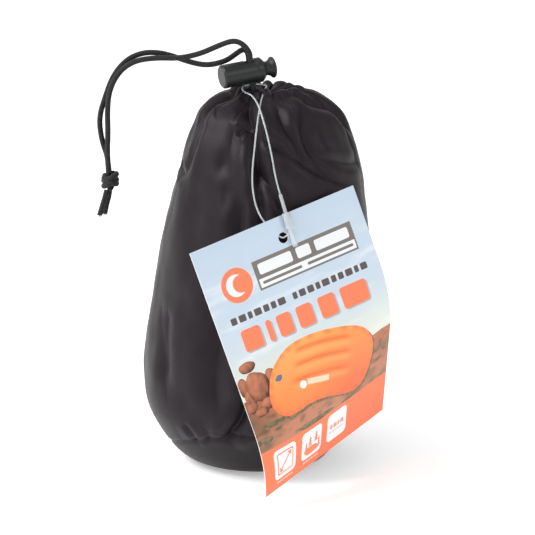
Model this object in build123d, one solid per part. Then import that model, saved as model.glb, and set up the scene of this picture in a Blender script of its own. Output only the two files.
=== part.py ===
"""Compact inflatable camp pillow, rolled up in its drawstring stuff sack, with its hang tag.

Millimetres, +Z up. The origin is the centre of the sack's flat base, on the surface it stands on.
The sack's front, where the tag hangs, faces -Y.
"""

import os
from math import atan2, cos, degrees, radians, sin, tan

from build123d import *

# Stuff sack
FABRIC_WALL = 0.8
BASE_FLAT_RADIUS = 36.0
SEAM_RADIUS = 45.5
SEAM_HEIGHT = 9.0
# Radius and height of the filled sack's outside, from the base seam up to the gathered mouth
SACK_OUTLINE = [(SEAM_RADIUS, SEAM_HEIGHT), (52.0, 26), (55.6, 46), (54.0, 74), (47.8, 114), (42.5, 146),
                (33.8, 168.5), (19.1, 176.9)]
SEAM_TAPE_WALL = 0.6
SEAM_TAPE_INSET = 1.3
SIDE_SEAM_DEGREES = 7.0

# Gathered hem at the mouth, which holds the drawcord
HEM_RADIUS = 18.5
HEM_BOTTOM = 173.0
HEM_SIDE_TOP = 176.6
HEM_TOP = 181.0
HEM_FLAT_RADIUS = 9.0
TUNNEL_INNER_RADIUS = 9.2
TUNNEL_OUTER_RADIUS = 15.4
TUNNEL_BOTTOM = 174.3
TUNNEL_TOP = 177.7
SLIT_WIDTH = 3.2

# Drawcord
CORD_DIAMETER = 2.4
CORD_PITCH = 2.5
CORD_RING_HEIGHT = 176.0
CORD_RING_POINTS = 12

# Cord lock: its own Z runs along the barrel to the push button, its own X along the cords
LOCK_CENTRE = Vector(-10.8, -13.0, 188.9)
LOCK_TURN = 22.0
LOCK_RISE = 7.0
BARREL_LENGTH = 20.5
BARREL_RADIUS = 5.5
BARREL_COLLAR_RADIUS = 5.8
BORE_RADIUS = 4.3
CLOSED_END_WALL = 1.6
CORD_HOLE_ALONG = 4.4
CORD_HOLE_ACROSS = 5.8
CORD_HOLE_CORNER = 0.8
BARREL_HOLE_OFFSET = 3.55
PRESS_TRAVEL = 1.8
LOCK_TRAVEL = 2.0
STEM_RADIUS = 4.2
STEM_INNER_END = -3.5
BUTTON_RADIUS = 5.0
BUTTON_TOP = 16.75
SPRING_WIRE = 0.5
SPRING_RADIUS = 2.9
SPRING_PITCH = 1.05

# Hang tag: a printed card, curled near its lower left corner
CARD_CORNER = Vector(-33.6, -78.0, 118.8)
CARD_TURN = 28.0
CARD_LEAN = 14.9
CARD_TWIST = 14.2
CARD_WIDTH = 89.5
CARD_HEIGHT = 119.5
CARD_THICKNESS = 0.45
CARD_HOLE_ACROSS = 46.6
CARD_HOLE_DOWN = 9.8
CARD_HOLE_RADIUS = 2.5
# The curl is a part of a cylinder whose straight lines run at this angle to the card's top edge
CURL_ANGLE = 28.2
CURL_START = 74.9
CURL_RADIUS = 45.0
CURL_TURN = 38.7
CURL_FLAT_LENGTH = 60.0

# Clear loop of the tag, with its push-in socket
STRAND_DIAMETER = 0.8
SOCKET_OFFSET = 2.3
SOCKET_SLEEVE_RADIUS = 1.85
SOCKET_SLEEVE_LENGTH = 7.1
SOCKET_TAIL_RADIUS = 1.25
SOCKET_TAIL_LENGTH = 8.8
BARB_STEM_RADIUS = 0.8
BARB_STEM_LENGTH = 12.0
BARB_HEAD_RADIUS = 1.2
BARB_HEAD_LENGTH = 2.2

# Deflated pillow, folded and rolled
ROLL_RADIUS = 44.2
ROLL_CORNER = 16.0
ROLL_BOTTOM = 1.6
ROLL_TOP = 128.6
PANEL_THICKNESS = 3.8
BAFFLE_THICKNESS = 0.4
LAYER_GAP = 0.2
ROLL_CORE_RADIUS = 4.0
ROLL_HALF_TURNS = 8
BAFFLE_HEIGHT = 20.0
BAFFLE_BOTTOMS = (22.0, 55.0, 88.0)

# Inflation valve, on top of the roll
VALVE_FLANGE_RADIUS = 17.0
VALVE_FLANGE_THICKNESS = 0.8
VALVE_RADIUS = 10.0
VALVE_BORE = 7.0
VALVE_HEIGHT = 7.0
VALVE_LEDGE = 1.4
VALVE_LEDGE_BORE = 4.0
FLAP_RADIUS = 6.6
FLAP_THICKNESS = 0.6
CAP_THICKNESS = 2.2
CAP_PLUG_RADIUS = 6.3
CAP_PLUG_DEPTH = 2.2
CAP_GAP = 0.1
HINGE_REACH = 11.6
HINGE_PIN_RADIUS = 0.7


def inset(outline, distance):
    """Move the points of an outline inwards, square to its own direction."""
    moved = []
    for i, (radius, height) in enumerate(outline):
        before = outline[max(i - 1, 0)]
        after = outline[min(i + 1, len(outline) - 1)]
        heading = atan2(after[1] - before[1], after[0] - before[0])
        moved.append((radius - distance * sin(heading), height + distance * cos(heading)))
    return moved


def fabric_wall(outline, wall, arc=360.0):
    """A skin of revolution between an outline and its inset."""
    inner = inset(outline, wall)
    edges = [Spline(*outline), Line(outline[-1], inner[-1]), Spline(*inner), Line(inner[0], outline[0])]
    return revolve(Plane.XZ * make_face(edges), Axis.Z, arc)


def cord_tube(name, points, diameter):
    """A round cord along straight runs joined by tangent arcs."""
    points = [Vector(point) for point in points]
    runs = [end - start for start, end in zip(points, points[1:])]
    radii = []
    for first, second in zip(runs, runs[1:]):
        half_turn = radians(first.get_angle(second)) / 2
        radii.append(0.45 * min(first.length, second.length) / tan(half_turn))
    path = Wire(FilletPolyline(*points, radius=radii).edges())
    section = Plane(origin=points[0], z_dir=runs[0]) * Circle(diameter / 2)
    tube = sweep(section, path=path)
    nominal = section.area * path.length
    print(f"{name}: length {path.length:.1f}, volume / nominal {tube.volume / nominal:.4f}")
    print("   arc radii", " ".join(f"{radius:.1f}" for radius in radii))
    return tube


# Sack ------------------------------------------------------------------------------------------

def sack_body():
    return fabric_wall(SACK_OUTLINE, FABRIC_WALL)


def sack_base():
    """Round base panel: flat in the middle, turned up to the base seam."""
    turn_radius = SEAM_RADIUS - BASE_FLAT_RADIUS
    inner_radius = turn_radius - FABRIC_WALL
    middle = (BASE_FLAT_RADIUS, turn_radius)
    turn = degrees(atan2(turn_radius - SEAM_HEIGHT, turn_radius))
    outer_arc = CenterArc(middle, turn_radius, -90, 90 - turn)
    inner_arc = CenterArc(middle, inner_radius, -90, 90 - turn)
    edges = [Line((0, 0), outer_arc @ 0), outer_arc, Line(outer_arc @ 1, inner_arc @ 1), inner_arc,
             Line(inner_arc @ 0, (0, FABRIC_WALL)), Line((0, FABRIC_WALL), (0, 0))]
    return revolve(Plane.XZ * make_face(edges), Axis.Z)


def base_seam_tape():
    """Binding over the seam allowance, inside the base seam."""
    outer = SEAM_RADIUS - SEAM_TAPE_INSET
    section = Pos((outer - SEAM_TAPE_WALL / 2), SEAM_HEIGHT + 1.9) * Rectangle(SEAM_TAPE_WALL, 3.0)
    return revolve(Plane.XZ * section, Axis.Z)


def side_seam_tape():
    """Binding over the body's one upright seam, inside the sack at the back."""
    upright = inset(SACK_OUTLINE, SEAM_TAPE_INSET)[1:-1]
    tape = fabric_wall(upright, SEAM_TAPE_WALL, SIDE_SEAM_DEGREES)
    return Rot(0, 0, 90 - SIDE_SEAM_DEGREES / 2) * tape


def cord_channel():
    """The gathered hem: a dome of bunched cloth with a ring-shaped tunnel for the drawcord."""
    top_arc = ThreePointArc((HEM_FLAT_RADIUS, HEM_TOP), (14.6, 179.9), (HEM_RADIUS, HEM_SIDE_TOP))
    edges = [Line((0, HEM_BOTTOM), (HEM_RADIUS, HEM_BOTTOM)),
             Line((HEM_RADIUS, HEM_BOTTOM), (HEM_RADIUS, HEM_SIDE_TOP)), top_arc,
             Line((HEM_FLAT_RADIUS, HEM_TOP), (0, HEM_TOP)), Line((0, HEM_TOP), (0, HEM_BOTTOM))]
    gathers = revolve(Plane.XZ * make_face(edges), Axis.Z)
    tunnel_width = TUNNEL_OUTER_RADIUS - TUNNEL_INNER_RADIUS
    tunnel_height = TUNNEL_TOP - TUNNEL_BOTTOM
    tunnel_middle = Pos(TUNNEL_INNER_RADIUS + tunnel_width / 2, TUNNEL_BOTTOM + tunnel_height / 2)
    tunnel = revolve(Plane.XZ * (tunnel_middle * Rectangle(tunnel_width, tunnel_height)), Axis.Z)
    slit_depth = LOCK_CENTRE.Z - TUNNEL_BOTTOM - tunnel_height / 2
    slit_outline = Rectangle(SLIT_WIDTH, CORD_HOLE_ACROSS)
    slit = lock_place(0, 0, CORD_LINE) * Rot(0, -90, 0) * extrude(slit_outline, slit_depth)
    return gathers - tunnel - slit


# Cord lock and drawcord -------------------------------------------------------------------------

# Where the cords cross the lock's axis, measured from the barrel's middle
CORD_LINE = BARREL_HOLE_OFFSET + PRESS_TRAVEL / 2
BARREL_AXIS = Vector(cos(radians(LOCK_TURN)) * cos(radians(LOCK_RISE)),
                     sin(radians(LOCK_TURN)) * cos(radians(LOCK_RISE)), sin(radians(LOCK_RISE)))
CORD_UP = (Vector(0, 0, 1) - BARREL_AXIS * BARREL_AXIS.Z).normalized()
ACROSS_CORDS = CORD_UP.cross(BARREL_AXIS)
LOCK_PLANE = Plane(origin=LOCK_CENTRE, x_dir=CORD_UP, z_dir=BARREL_AXIS)
CORD_CROSSING = LOCK_CENTRE + BARREL_AXIS * CORD_LINE
FRONT_CORD = CORD_CROSSING - ACROSS_CORDS * (CORD_PITCH / 2)
BACK_CORD = CORD_CROSSING + ACROSS_CORDS * (CORD_PITCH / 2)
# The two cords run straight through the lock and up past its travel
CORD_EXIT = CORD_UP * (BARREL_RADIUS + LOCK_TRAVEL + 0.1)


def lock_place(x, y, z):
    """A place in the cord lock's own frame."""
    return LOCK_PLANE.location * Pos(x, y, z)


def cord_hole(offset):
    """The opening for both cords, right through the lock."""
    outline = RectangleRounded(CORD_HOLE_ALONG, CORD_HOLE_ACROSS, CORD_HOLE_CORNER)
    hole = extrude(outline, 2 * BARREL_RADIUS, both=True)
    return Pos(0, 0, offset) * Rot(0, 90, 0) * hole


def lock_barrel():
    half = BARREL_LENGTH / 2
    collar_start = 6.9
    collar_end = 9.2
    edge = 0.7
    outline = Polyline((0, -half), (BARREL_RADIUS - edge, -half), (BARREL_RADIUS, edge - half),
                       (BARREL_RADIUS, collar_start - edge), (BARREL_COLLAR_RADIUS, collar_start),
                       (BARREL_COLLAR_RADIUS, collar_end), (BARREL_RADIUS - edge, half), (BORE_RADIUS, half),
                       (BORE_RADIUS, CLOSED_END_WALL - half), (0, CLOSED_END_WALL - half), (0, -half))
    barrel = revolve(Plane.XZ * make_face(outline), Axis.Z)
    return LOCK_PLANE.location * (barrel - cord_hole(BARREL_HOLE_OFFSET))


def lock_plunger():
    """Push button, waisted neck and the stem whose hole traps the cords."""
    stem_end = BARREL_LENGTH / 2 + 0.4
    flare = ThreePointArc((3.3, stem_end + 0.9), (3.6, stem_end + 2.6), (BUTTON_RADIUS - 0.3, 14.6))
    rim_end = Vector(BUTTON_RADIUS - 0.4, 15.8)
    rim = ThreePointArc(flare @ 1, (BUTTON_RADIUS, 15.1), rim_end)
    rise = BUTTON_TOP - rim_end.Y
    dome_radius = (rim_end.X ** 2 + rise ** 2) / (2 * rise)
    half_way = (rim_end.X / 2, BUTTON_TOP - dome_radius + (dome_radius ** 2 - rim_end.X ** 2 / 4) ** 0.5)
    dome = ThreePointArc(rim_end, half_way, (0, BUTTON_TOP))
    edges = [Line((0, STEM_INNER_END), (STEM_RADIUS, STEM_INNER_END)),
             Line((STEM_RADIUS, STEM_INNER_END), (STEM_RADIUS, stem_end)),
             Line((STEM_RADIUS, stem_end), flare @ 0), flare, rim, dome,
             Line((0, BUTTON_TOP), (0, STEM_INNER_END))]
    plunger = revolve(Plane.XZ * make_face(edges), Axis.Z)
    return LOCK_PLANE.location * (plunger - cord_hole(BARREL_HOLE_OFFSET + PRESS_TRAVEL))


def lock_spring():
    """Compression spring between the barrel's closed end and the stem."""
    seat = CLOSED_END_WALL - BARREL_LENGTH / 2
    start = seat + SPRING_WIRE / 2 + 0.05
    height = STEM_INNER_END - seat - SPRING_WIRE - 0.1
    coil = Helix(SPRING_PITCH, height, SPRING_RADIUS, center=(0, 0, start))
    section = Plane(origin=coil @ 0, z_dir=coil % 0) * Circle(SPRING_WIRE / 2)
    return LOCK_PLANE.location * sweep(section, path=coil, is_frenet=True)


def drawcord_loop():
    """The drawcord inside the hem: once round the tunnel, with both ends up through the lock."""
    drop = (CORD_CROSSING.Z - CORD_RING_HEIGHT) / CORD_UP.Z
    front_foot = FRONT_CORD - CORD_UP * drop
    back_foot = BACK_CORD - CORD_UP * drop
    front_angle = atan2(front_foot.Y, front_foot.X)
    sweep_angle = radians(360) + atan2(back_foot.Y, back_foot.X) - front_angle
    front_radius = (front_foot.X ** 2 + front_foot.Y ** 2) ** 0.5
    back_radius = (back_foot.X ** 2 + back_foot.Y ** 2) ** 0.5
    ring = []
    for i in range(1, CORD_RING_POINTS):
        part = i / CORD_RING_POINTS
        angle = front_angle + sweep_angle * part
        radius = front_radius + (back_radius - front_radius) * part
        ring.append(Vector(radius * cos(angle), radius * sin(angle), CORD_RING_HEIGHT))
    route = [FRONT_CORD + CORD_EXIT, front_foot, *ring, back_foot, BACK_CORD + CORD_EXIT]
    return cord_tube("drawcord_loop", route, CORD_DIAMETER)


KNOT_CENTRE = Vector(-72.65, -11.3, 137.7)
KNOT_HALF_HEIGHT = 4.2
KNOT_RADIUS = 4.1
KNOT_FACE_RADIUS = 3.0

FRONT_TAIL_START = FRONT_CORD + CORD_EXIT
FRONT_TAIL = [FRONT_TAIL_START, FRONT_TAIL_START + CORD_UP * 1.6, (-9.6, -13.0, 201.8), (-12.8, -13.1, 203.8),
              (-16.4, -13.1, 203.8), (-22.0, -13.2, 201.6), (-30.5, -13.4, 197.9), (-40.0, -13.6, 195.9),
              (-50.5, -13.4, 196.2), (-60.3, -12.9, 194.8), (-67.6, -12.7, 189.9), (-72.4, -12.7, 181.0),
              (-73.4, -12.7, 171.0), (-73.2, -12.7, 161.0), (-73.8, -12.7, 150.0), (-73.2, -12.7, 141.9)]

BACK_TAIL_START = BACK_CORD + CORD_EXIT
BACK_TAIL = [BACK_TAIL_START, BACK_TAIL_START + CORD_UP * 0.9, (-9.2, -10.4, 199.4), (-10.8, -10.1, 199.5),
             (-13.6, -9.6, 197.4), (-18.4, -8.8, 193.8), (-27.0, -8.2, 191.6), (-35.4, -8.4, 193.4),
             (-43.5, -8.9, 196.5), (-50.0, -9.2, 198.0), (-57.0, -9.4, 197.9), (-64.3, -9.5, 194.8),
             (-70.6, -9.6, 187.4), (-74.2, -9.6, 178.0), (-77.6, -9.6, 167.4), (-76.4, -9.6, 156.4),
             (-73.6, -9.7, 148.6), (-73.2, -9.8, 141.9)]


def drawcord_knot():
    """Overhand knot that ties both tails together."""
    side = ThreePointArc((KNOT_FACE_RADIUS, -KNOT_HALF_HEIGHT), (KNOT_RADIUS, 0),
                         (KNOT_FACE_RADIUS, KNOT_HALF_HEIGHT))
    edges = [Line((0, -KNOT_HALF_HEIGHT), side @ 0), side, Line(side @ 1, (0, KNOT_HALF_HEIGHT)),
             Line((0, KNOT_HALF_HEIGHT), (0, -KNOT_HALF_HEIGHT))]
    return Pos(KNOT_CENTRE) * revolve(Plane.XZ * make_face(edges), Axis.Z)


def cord_end(start, end):
    """Cut end of a tail, below the knot."""
    section = Plane(origin=start) * Circle(CORD_DIAMETER / 2)
    run = Vector(end) - Vector(start)
    return extrude(section, run.length, dir=run)


# Hang tag ---------------------------------------------------------------------------------------

TURN = radians(CARD_TURN)
LEAN = radians(CARD_LEAN)
TWIST = radians(CARD_TWIST)
CARD_NORMAL = Vector(sin(TURN) * cos(LEAN), -cos(TURN) * cos(LEAN), sin(LEAN))
CARD_LEVEL = Vector(cos(TURN), sin(TURN), 0)
CARD_ACROSS = CARD_LEVEL * cos(TWIST) + CARD_NORMAL.cross(CARD_LEVEL) * sin(TWIST)
CARD_PLANE = Plane(origin=CARD_CORNER, x_dir=CARD_ACROSS, z_dir=CARD_NORMAL)


def on_card(across, down, out):
    """A point given across and down the flat part of the card, and out from its front."""
    return CARD_PLANE.from_local_coords(Vector(across, -down, out))


def curled(across, down):
    """Where a point of the card lies in its plane once the corner is curled, seen square on."""
    lean = radians(CURL_ANGLE)
    along = across * cos(lean) - down * sin(lean)
    past = across * sin(lean) + down * cos(lean)
    bent = min(max((past - CURL_START) / CURL_RADIUS, 0), radians(CURL_TURN))
    straight = max(past - CURL_START - CURL_RADIUS * radians(CURL_TURN), 0)
    if bent > 0:
        past = CURL_START + CURL_RADIUS * sin(bent) + straight * cos(bent)
    return (along * cos(lean) + past * sin(lean), along * sin(lean) - past * cos(lean))


def curled_edge(across, start, end):
    """The part of an upright card edge that lies on the curl."""
    steps = 4
    return Spline(*[curled(across, start + (end - start) * i / steps) for i in range(steps + 1)])


def tag_card():
    lean = radians(CURL_ANGLE)
    curl_end = CURL_START + CURL_RADIUS * radians(CURL_TURN)
    left_start = CURL_START / cos(lean)
    right_start = (CURL_START - CARD_WIDTH * sin(lean)) / cos(lean)
    right_end = (curl_end - CARD_WIDTH * sin(lean)) / cos(lean)
    left_edge = curled_edge(0, left_start, CARD_HEIGHT)
    right_edge = curled_edge(CARD_WIDTH, right_start, right_end)
    edges = [Line((0, 0), (CARD_WIDTH, 0)), Line((CARD_WIDTH, 0), right_edge @ 0), right_edge,
             Line(right_edge @ 1, curled(CARD_WIDTH, CARD_HEIGHT)),
             Line(curled(CARD_WIDTH, CARD_HEIGHT), left_edge @ 1), left_edge, Line(left_edge @ 0, (0, 0))]
    outline = extrude(make_face(edges), CARD_HEIGHT, both=True)

    middle = (CURL_START, -CURL_RADIUS)
    front = CenterArc(middle, CURL_RADIUS, 90, -CURL_TURN)
    back = CenterArc(middle, CURL_RADIUS - CARD_THICKNESS, 90, -CURL_TURN)
    fall = Vector(cos(radians(CURL_TURN)), -sin(radians(CURL_TURN))) * CURL_FLAT_LENGTH
    margin = 10.0
    section = [Line((-margin, 0), front @ 0), front, Line(front @ 1, front @ 1 + fall),
               Line(front @ 1 + fall, back @ 1 + fall), Line(back @ 1 + fall, back @ 1), back,
               Line(back @ 0, (-margin, -CARD_THICKNESS)), Line((-margin, -CARD_THICKNESS), (-margin, 0))]
    side_view = Plane(origin=(0, 0, 0), x_dir=(sin(lean), -cos(lean), 0), z_dir=(-cos(lean), -sin(lean), 0))
    sheet = extrude(side_view * make_face(section), CARD_HEIGHT, both=True)
    hole = Pos(CARD_HOLE_ACROSS, -CARD_HOLE_DOWN, 0) * Cylinder(CARD_HOLE_RADIUS, 4 * CARD_THICKNESS)
    return CARD_PLANE.location * ((sheet & outline) - hole)


BARB_TOP = on_card(51.3, -9.2, SOCKET_OFFSET)
SOCKET_END = on_card(49.9, 15.3, SOCKET_OFFSET)
SOCKET_AXIS = (SOCKET_END - BARB_TOP).normalized()
BARB_PLANE = Plane(origin=BARB_TOP, z_dir=SOCKET_AXIS)

# From the socket's tail through the card's hole, up behind the card and over the sack's shoulder, round
# both cords under the lock, and back down in front of the card to the barb
LOOP_ROUTE = [on_card(49.9, 8.6, SOCKET_OFFSET), on_card(47.6, 9.6, 1.2), on_card(46.4, 9.9, -0.9),
              on_card(44.6, 7.0, -2.0), on_card(42.0, 2.4, -2.2), (-3.6, -52.8, 132.2), (-5.8, -48.6, 140.5),
              (-6.0, -44.9, 149.5), (-4.9, -40.9, 159.2), (-3.9, -36.1, 167.7), (-2.9, -29.3, 174.0),
              (-1.6, -21.0, 178.8), (-0.2, -13.8, 181.5), (0.8, -9.2, 182.3), (-0.9, -6.8, 182.6),
              (-5.4, -6.2, 182.7), (-9.8, -7.4, 182.2), (-11.1, -11.2, 180.9), (-9.2, -15.2, 180.0),
              (-6.2, -20.2, 179.8), (-3.6, -27.4, 177.6), (-1.4, -34.9, 172.6), (0.9, -40.9, 165.2),
              (2.9, -45.6, 156.8), (4.2, -49.6, 150.0), BARB_TOP - SOCKET_AXIS * 5.0, BARB_TOP]


def tag_loop_barb():
    """Stem and arrow head that snap into the socket."""
    head_start = BARB_STEM_LENGTH
    stem = Pos(0, 0, head_start / 2) * Cylinder(BARB_STEM_RADIUS, head_start)
    head = Pos(0, 0, head_start + BARB_HEAD_LENGTH / 2) * Cone(BARB_HEAD_RADIUS, 0.4, BARB_HEAD_LENGTH)
    return BARB_PLANE.location * (stem + head)


def tag_loop_socket():
    """Sleeve that swallows the barb, with a solid tail that the loop's other end grows out of."""
    sleeve_start = (SOCKET_END - BARB_TOP).length - SOCKET_SLEEVE_LENGTH - SOCKET_TAIL_LENGTH
    sleeve = Pos(0, 0, sleeve_start + SOCKET_SLEEVE_LENGTH / 2) * Cylinder(SOCKET_SLEEVE_RADIUS,
                                                                           SOCKET_SLEEVE_LENGTH)
    tail_middle = sleeve_start + SOCKET_SLEEVE_LENGTH + SOCKET_TAIL_LENGTH / 2
    tail = Pos(0, 0, tail_middle) * Cylinder(SOCKET_TAIL_RADIUS, SOCKET_TAIL_LENGTH)
    lip_end = BARB_STEM_LENGTH - 0.1
    chamber_length = BARB_HEAD_LENGTH + 0.4
    lip = Pos(0, 0, lip_end / 2) * Cylinder(BARB_STEM_RADIUS + 0.1, lip_end)
    chamber = Pos(0, 0, lip_end + chamber_length / 2) * Cylinder(BARB_HEAD_RADIUS + 0.1, chamber_length)
    return BARB_PLANE.location * (sleeve + tail - lip - chamber)


# Rolled pillow and its valve ----------------------------------------------------------------------

ROLL_PITCH = 2 * PANEL_THICKNESS + BAFFLE_THICKNESS + 3 * LAYER_GAP


def spiral(start_radius):
    """Half circles of growing radius about two centres in turn, from the core outwards."""
    arcs = []
    for i in range(ROLL_HALF_TURNS):
        middle = (0, 0) if i % 2 == 0 else (ROLL_PITCH / 2, 0)
        arcs.append(CenterArc(middle, start_radius + i * ROLL_PITCH / 2, 180 * (i % 2), 180))
    return arcs


def rolled_layer(start_radius, thickness, bottom, top):
    """One layer of the roll, trimmed to the round-cornered space inside the sack."""
    inner = spiral(start_radius)
    outer = spiral(start_radius + thickness)
    ends = [Line(inner[0] @ 0, outer[0] @ 0), Line(inner[-1] @ 1, outer[-1] @ 1)]
    ribbon = extrude(make_face([*inner, *outer, *ends]), top - bottom)
    height = ROLL_TOP - ROLL_BOTTOM
    space = Pos(0, 0, ROLL_BOTTOM + height / 2) * Cylinder(ROLL_RADIUS, height)
    space = fillet(space.edges().sort_by(Axis.Z)[0], ROLL_CORNER)
    return space & (Pos(-ROLL_PITCH / 4, 0, bottom) * ribbon)


def pillow_bottom_panel():
    return rolled_layer(ROLL_CORE_RADIUS, PANEL_THICKNESS, ROLL_BOTTOM - 1, ROLL_TOP + 1)


def pillow_baffles():
    """Three internal strips that hold the two panels together."""
    radius = ROLL_CORE_RADIUS + PANEL_THICKNESS + LAYER_GAP
    strips = [rolled_layer(radius, BAFFLE_THICKNESS, bottom, bottom + BAFFLE_HEIGHT)
              for bottom in BAFFLE_BOTTOMS]
    return Compound(children=[solid for strip in strips for solid in strip.solids()])


def pillow_top_panel():
    radius = ROLL_CORE_RADIUS + PANEL_THICKNESS + BAFFLE_THICKNESS + 2 * LAYER_GAP
    return rolled_layer(radius, PANEL_THICKNESS, ROLL_BOTTOM - 1, ROLL_TOP + 1)


VALVE_BASE = ROLL_TOP + 0.2
VALVE_FLOOR = VALVE_BASE + VALVE_FLANGE_THICKNESS
VALVE_TOP = VALVE_FLOOR + VALVE_HEIGHT
HINGE_HEIGHT = VALVE_TOP + CAP_GAP + CAP_THICKNESS / 2


def disc(radius, bottom, height):
    """A short upright cylinder on the valve's axis."""
    return Pos(0, 0, bottom + height / 2) * Cylinder(radius, height)


def valve_flange():
    """Welded ring that joins the valve to the pillow."""
    bore = disc(VALVE_LEDGE_BORE, VALVE_BASE, VALVE_FLANGE_THICKNESS)
    return disc(VALVE_FLANGE_RADIUS, VALVE_BASE, VALVE_FLANGE_THICKNESS) - bore


def valve_body():
    """Valve seat with a ledge for the flap and two lugs that carry the cap's hinge pin."""
    body = disc(VALVE_RADIUS, VALVE_FLOOR, VALVE_HEIGHT)
    body -= disc(VALVE_LEDGE_BORE, VALVE_FLOOR, VALVE_LEDGE)
    body -= disc(VALVE_BORE, VALVE_FLOOR + VALVE_LEDGE, VALVE_HEIGHT - VALVE_LEDGE)
    lug_height = HINGE_HEIGHT + 1.4 - VALVE_FLOOR
    for side in (-1, 1):
        lug = Pos(HINGE_REACH - 0.5, side * 3.2, VALVE_FLOOR + lug_height / 2) * Box(4.6, 1.6, lug_height)
        body += lug - disc(VALVE_RADIUS + 0.4, VALVE_TOP, lug_height)
    pin_hole = Pos(HINGE_REACH, 0, HINGE_HEIGHT) * Rot(90, 0, 0) * Cylinder(HINGE_PIN_RADIUS + 0.05, 12)
    return body - pin_hole


def valve_flap():
    """Thin one-way flap that lies on the ledge."""
    return disc(FLAP_RADIUS, VALVE_FLOOR + VALVE_LEDGE, FLAP_THICKNESS)


def valve_cap():
    """Plug cap with a tongue and a hinge pin between the body's lugs."""
    bottom = VALVE_TOP + CAP_GAP
    cap = disc(VALVE_RADIUS - 0.6, bottom, CAP_THICKNESS)
    cap += disc(CAP_PLUG_RADIUS, bottom - CAP_PLUG_DEPTH, CAP_PLUG_DEPTH)
    cap += Pos(HINGE_REACH / 2 + 4, 0, HINGE_HEIGHT) * Box(HINGE_REACH - 6.6, 4.0, CAP_THICKNESS)
    pin = Pos(HINGE_REACH, 0, HINGE_HEIGHT) * Rot(90, 0, 0) * Cylinder(HINGE_PIN_RADIUS, 8.4)
    return cap + pin


PARTS = {
    "sack_body": sack_body(),
    "sack_base": sack_base(),
    "base_seam_tape": base_seam_tape(),
    "side_seam_tape": side_seam_tape(),
    "cord_channel": cord_channel(),
    "drawcord_loop": drawcord_loop(),
    "drawcord_front_tail": cord_tube("drawcord_front_tail", FRONT_TAIL, CORD_DIAMETER),
    "drawcord_back_tail": cord_tube("drawcord_back_tail", BACK_TAIL, CORD_DIAMETER),
    "drawcord_knot": drawcord_knot(),
    "cord_end_left": cord_end((-74.2, -12.6, 133.5), (-77.7, -13.1, 121.7)),
    "cord_end_right": cord_end((-72.9, -10.0, 133.5), (-75.4, -9.7, 121.7)),
    "lock_barrel": lock_barrel(),
    "lock_plunger": lock_plunger(),
    "lock_spring": lock_spring(),
    "tag_card": tag_card(),
    "tag_loop_strand": cord_tube("tag_loop_strand", LOOP_ROUTE, STRAND_DIAMETER),
    "tag_loop_barb": tag_loop_barb(),
    "tag_loop_socket": tag_loop_socket(),
    "pillow_bottom_panel": pillow_bottom_panel(),
    "pillow_top_panel": pillow_top_panel(),
    "pillow_baffles": pillow_baffles(),
    "valve_flange": valve_flange(),
    "valve_body": valve_body(),
    "valve_flap": valve_flap(),
    "valve_cap": valve_cap(),
}

os.makedirs("parts", exist_ok=True)
for node, shape in PARTS.items():
    export_step(shape, f"parts/{node}.step")
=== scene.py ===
"""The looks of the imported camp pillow: a black stuff sack with its cord lock, drawcord and printed tag.

Everything is in metres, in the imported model's own frame: +Z up, the sack's front towards -Y.
Angles round the sack are counted from +X towards +Y, so its front is at 270 degrees.
"""

import math

import bmesh
import bpy
import numpy as np
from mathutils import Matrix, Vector, geometry, noise


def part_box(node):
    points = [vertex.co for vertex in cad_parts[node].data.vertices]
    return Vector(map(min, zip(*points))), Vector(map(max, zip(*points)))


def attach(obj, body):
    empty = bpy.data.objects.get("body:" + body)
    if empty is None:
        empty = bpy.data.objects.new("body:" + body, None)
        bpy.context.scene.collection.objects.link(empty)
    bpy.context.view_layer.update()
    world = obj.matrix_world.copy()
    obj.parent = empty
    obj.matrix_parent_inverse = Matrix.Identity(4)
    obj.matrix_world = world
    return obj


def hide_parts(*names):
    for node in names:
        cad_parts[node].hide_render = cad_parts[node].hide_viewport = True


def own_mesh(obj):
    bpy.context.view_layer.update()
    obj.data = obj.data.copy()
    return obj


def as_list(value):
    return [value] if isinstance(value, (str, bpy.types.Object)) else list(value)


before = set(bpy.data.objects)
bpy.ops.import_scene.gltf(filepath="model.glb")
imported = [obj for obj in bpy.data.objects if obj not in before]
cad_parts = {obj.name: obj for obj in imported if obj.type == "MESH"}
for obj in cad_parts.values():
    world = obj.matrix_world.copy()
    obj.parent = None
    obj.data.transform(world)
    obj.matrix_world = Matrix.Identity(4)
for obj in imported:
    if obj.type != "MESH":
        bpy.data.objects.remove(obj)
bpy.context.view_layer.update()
MM = 0.001

# Camera
CAMERA_TARGET = Vector((1.0, 0.0, 93.0)) * MM
CAMERA_DISTANCE = 1.25
CAMERA_ELEVATION = math.radians(14.0)
CAMERA_LENS = 176.6
CAMERA_SENSOR = 36.0

# Cords
CORD_DIAMETER = 2.4 * MM
STRAND_DIAMETER = 0.8 * MM


# ---------------------------------------------------------------- small helpers

def add_mesh(name, verts, faces, materials, smooth=True):
    """A mesh object from plain lists."""
    mesh = bpy.data.meshes.new(name)
    mesh.from_pydata([tuple(v) for v in verts], [], [tuple(f) for f in faces])
    mesh.validate()
    mesh.update()
    obj = bpy.data.objects.new(name, mesh)
    bpy.context.scene.collection.objects.link(obj)
    for material in materials:
        mesh.materials.append(material)
    mesh.polygons.foreach_set("use_smooth", [smooth] * len(mesh.polygons))
    return obj


def grid_faces(rows, columns, wrap=True):
    """Quads of a grid of rows x columns points; each row closes on itself when wrap is set."""
    faces = []
    for i in range(rows - 1):
        for j in range(columns if wrap else columns - 1):
            k = (j + 1) % columns
            faces.append((i * columns + j, i * columns + k, (i + 1) * columns + k, (i + 1) * columns + j))
    return faces


def smoothstep(low, high, x):
    t = np.clip((x - low) / (high - low), 0.0, 1.0)
    return t * t * (3.0 - 2.0 * t)


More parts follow.
